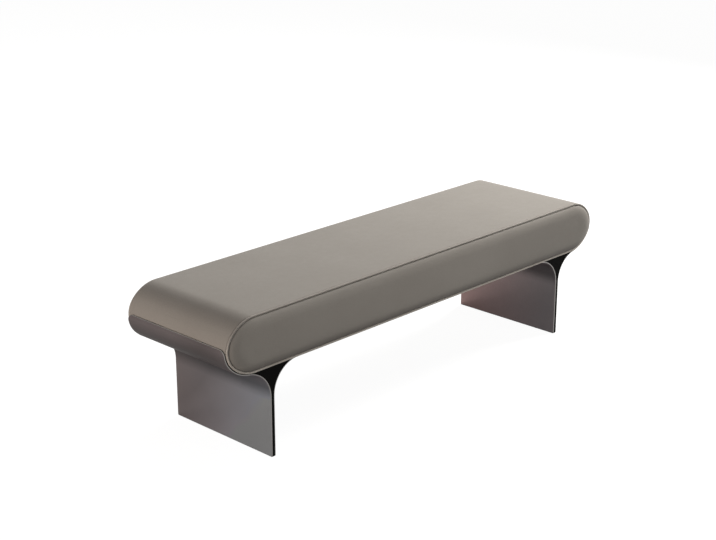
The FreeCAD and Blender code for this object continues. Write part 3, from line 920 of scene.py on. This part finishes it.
def makePanel(setup):
    rise = setup["edgePlane"] - setup["face"] - setup["swell"]
    rollCentre = seat["top"] - setup["edgeInset"] - setup["roll"]
    bpy.ops.mesh.primitive_circle_add(
        vertices=setup["rollSides"], radius=1,
        location=(-seat["flatEnd"], setup["edgePlane"], rollCentre),
        rotation=(0, math.pi / 2, 0),
    )
    piece = bpy.context.object
    piece.scale = (setup["roll"], rise, 1)
    settle(piece)
    editOnly(piece)
    pick(piece, lambda co: co.y > setup["edgePlane"] + nearly or co.z < rollCentre - nearly)
    bpy.ops.mesh.delete(type="VERT")
    pick(piece, lambda co: co.y > setup["edgePlane"] - nearly)
    run(y=setup["backDepth"])
    pick(piece, lambda co: co.z < rollCentre + nearly)
    for _ in range(setup["flatSteps"]):
        run(z=-setup["flatReach"] / setup["flatSteps"])
    bpy.ops.mesh.select_all(action="SELECT")
    run(x=2 * seat["flatEnd"])
    roundEnd(1, setup["shoulderSteps"], setup["noseSteps"])
    run(x=-2 * seat["flatEnd"])
    roundEnd(-1, setup["shoulderSteps"], setup["noseSteps"])
    weld()
    cutLongEdges(piece, 0, seat["flatEnd"], setup["cutsAlong"])
    # the flat middle is bridged between the two straight runs
    inner = rollCentre - setup["flatReach"] - seat["middle"] + nearly
    alongEnd = seat["flatEnd"] + nearly
    pick(piece, lambda co: abs(co.z - seat["middle"]) < inner and abs(co.x) < alongEnd, "EDGE")
    bpy.ops.mesh.bridge_edge_loops(number_cuts=setup["middleCuts"], interpolation="LINEAR")
    # and its two round ends are filled
    facePlane = setup["edgePlane"] - rise + nearly
    endStart = seat["flatEnd"] - nearly
    pick(piece, lambda co: co.y < facePlane and abs(co.x) > endStart, "EDGE")
    mesh = bmesh.from_edit_mesh(piece.data)
    for edge in mesh.edges:
        edge.select = edge.select and edge.is_boundary
    bmesh.update_edit_mesh(piece.data)
    bpy.ops.mesh.edge_face_add()
    faceOut()
    settle(piece)
    return piece


def panelHeld(place):
    return place.y > panel["edgePlane"] - panel["heldRim"]


frontPanel = makePanel(panel)
puff(frontPanel, panel, panelHeld)
rearPanel = copyTurned(frontPanel)
print("side panels:", len(frontPanel.data.polygons), "faces each")

softSurface = {"levels": 1, "smoothAngle": 50}


def smoothen(piece, setup):
    # one subdivision, then the open side is closed
    smoother = addModifier(piece, "SUBSURF")
    smoother.levels = setup["levels"]
    smoother.render_levels = setup["levels"]
    bpy.ops.object.modifier_apply(modifier=smoother.name)
    editOnly(piece)
    bpy.ops.mesh.select_all(action="SELECT")
    bpy.ops.mesh.fill_holes(sides=0)
    faceOut()
    settle(piece)
    bpy.ops.object.shade_smooth_by_angle(angle=math.radians(setup["smoothAngle"]))


for piece in (seatCushion, frontPanel, rearPanel):
    smoothen(piece, softSurface)
print("cushion and panels smoothed")

# the legs: flat plates bent up in edit mode, then given their thickness and eased edges

sheet = {
    "thickness": 0.003,
    "bend": 0.087,
    "cradleGap": 0.003,  # room for the felt between the cradle and the leather
    "cornerRadius": 0.02,
    "cornerSteps": 9,
    "easedEdge": 0.0021,
    "easedSegments": 2,
    "bendSteps": 20,
    "sharpAngle": 60,
    "smoothAngle": 35,
}


def startPlate(face, low, high, bendZ):
    # an upright plate from the floor to the start of its bend, with its top edge picked
    bpy.ops.mesh.primitive_plane_add(
        size=1, location=(face, 0, (low.z + bendZ) / 2), rotation=(0, math.pi / 2, 0),
    )
    piece = bpy.context.object
    piece.scale = (bendZ - low.z, high.y - low.y, 1)
    settle(piece)
    editOnly(piece)
    pick(piece, lambda co: co.z > bendZ - nearly)
    return piece


def rounded(corner):
    return tuple(round(value, 5) for value in corner.co)


def thicken(piece, setup, seenNormal):
    # makes the seen face look outwards, thickens behind it and eases the seen edges
    editOnly(piece)
    faceOut()
    mesh = bmesh.from_edit_mesh(piece.data)
    upright = max(mesh.faces, key=lambda face: face.calc_area())
    if upright.normal.dot(seenNormal) < 0:
        bpy.ops.mesh.flip_normals()
    mesh = bmesh.from_edit_mesh(piece.data)
    outline = [edge for edge in mesh.edges if edge.is_boundary]
    seenRim = {rounded(corner) for edge in outline for corner in edge.verts}
    settle(piece)
    wall = addModifier(piece, "SOLIDIFY")
    wall.thickness = setup["thickness"]
    wall.offset = -1
    bpy.ops.object.modifier_apply(modifier=wall.name)
    floorLine = min(corner.co.z for corner in piece.data.vertices) + nearly

    def toEase(edge):
        onRim = all(rounded(corner) in seenRim for corner in edge.verts)
        folded = len(edge.link_faces) == 2
        sharp = folded and edge.calc_face_angle() > math.radians(setup["sharpAngle"])
        atFloor = all(corner.co.z < floorLine for corner in edge.verts)
        return onRim and sharp and not atFloor

    editOnly(piece)
    pickEdges(piece, toEase)
    bpy.ops.mesh.bevel(
        offset=setup["easedEdge"], segments=setup["easedSegments"], affect="EDGES",
    )
    settle(piece)
    even = addModifier(piece, "WEIGHTED_NORMAL")
    even.keep_sharp = True
    bpy.ops.object.shade_smooth_by_angle(angle=math.radians(setup["smoothAngle"]))
    bpy.ops.object.modifier_apply(modifier=even.name)


def makeOuterSheet(setup):
    low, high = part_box("right_outer_sheet")
    _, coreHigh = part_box("right_core_panel")
    face = coreHigh.x + setup["thickness"]
    reach = setup["cradleGap"] + setup["thickness"]
    bendX = face + setup["bend"]
    shoulder = (seat["flatEnd"], seat["underside"] + seat["shoulderRadius"])
    apart = setup["bend"] + seat["shoulderRadius"] + reach
    bendZ = shoulder[1] - math.sqrt(apart**2 - (bendX - shoulder[0]) ** 2)
    bendTurn = 180 - math.degrees(math.atan2(shoulder[1] - bendZ, shoulder[0] - bendX))
    piece = startPlate(face, low, high, bendZ)
    turn((bendX, bendZ), bendTurn, setup["bendSteps"])
    turn(shoulder, -(bendTurn - seat["noseAngle"]), setup["bendSteps"])
    # round the nose to the top edge, narrowing over the last stretch for the two round corners
    nose = (seat["noseCentre"], seat["middle"])
    noseReach = seat["noseRadius"] + reach
    topTurn = seat["noseAngle"] + math.degrees(math.asin((high.z - seat["middle"]) / noseReach))
    cornerTurn = math.degrees(setup["cornerRadius"] / noseReach)
    turn(nose, -(topTurn - cornerTurn), setup["bendSteps"])
    done = 0
    halfDepth = high.y
    for step in range(1, setup["cornerSteps"] + 1):
        around = math.radians(90 * step / setup["cornerSteps"])
        turn(nose, -cornerTurn * (math.sin(around) - done), 1)
        done = math.sin(around)
        newHalf = high.y - setup["cornerRadius"] * (1 - math.cos(around))
        bpy.ops.transform.resize(
            value=(1, newHalf / halfDepth, 1), center_override=(0, 0, 0),
        )
        halfDepth = newHalf
    weld()
    settle(piece)
    thicken(piece, setup, Vector((1, 0, 0)))
    return piece


def makeInnerSheet(setup):
    low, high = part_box("right_inner_sheet")
    coreLow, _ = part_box("right_core_panel")
    face = coreLow.x - setup["thickness"]
    bendX = face - setup["bend"]
    bendZ = high.z - setup["thickness"] - setup["bend"]
    piece = startPlate(face, low, high, bendZ)
    turn((bendX, bendZ), -90, setup["bendSteps"])
    run(x=low.x - bendX)
    weld()
    settle(piece)
    thicken(piece, setup, Vector((-1, 0, 0)))
    return piece


rightOuterSheet = makeOuterSheet(sheet)
rightInnerSheet = makeInnerSheet(sheet)
leftOuterSheet = copyTurned(rightOuterSheet)
leftInnerSheet = copyTurned(rightInnerSheet)
print("metal sheets: four")

# every piece gets its name, its finish and the CAD nodes that it stands for


def finishPiece(piece, name, slotName, nodes, look=None):
    piece.name = name
    piece.data.name = name
    piece.data.materials.clear()
    piece.data.materials.append(finishes[look or slotName])
    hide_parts(*nodes)
    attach(piece, "root")


finishPiece(
    seatCushion, "seatCushion", "leather",
    ["top_cover", "seat_foam", "left_end_foam", "right_end_foam"],
)
finishPiece(frontPiping, "frontPiping", "leather", ["front_piping"], "leather_piping")
finishPiece(rearPiping, "rearPiping", "leather", ["rear_piping"], "leather_piping")
finishPiece(
    frontPanel, "frontPanel", "leather",
    ["front_side_panel", "front_side_foam"], "leather_panel",
)
finishPiece(
    rearPanel, "rearPanel", "leather",
    ["rear_side_panel", "rear_side_foam"], "leather_panel",
)
finishPiece(rightOuterSheet, "rightOuterSheet", "bronze_metal", ["right_outer_sheet"])
finishPiece(rightInnerSheet, "rightInnerSheet", "bronze_metal", ["right_inner_sheet"])
finishPiece(leftOuterSheet, "leftOuterSheet", "bronze_metal", ["left_outer_sheet"])
finishPiece(leftInnerSheet, "leftInnerSheet", "bronze_metal", ["left_inner_sheet"])
print("pieces finished: nine")

# the CAD nodes that stay get the finish of their slot

for part in frame["record"]["subparts"]:
    node = frame["nodes"][part["node"]]
    node.data.materials.clear()
    node.data.materials.append(finishes[part["material_slot"]])
print("CAD nodes finished")
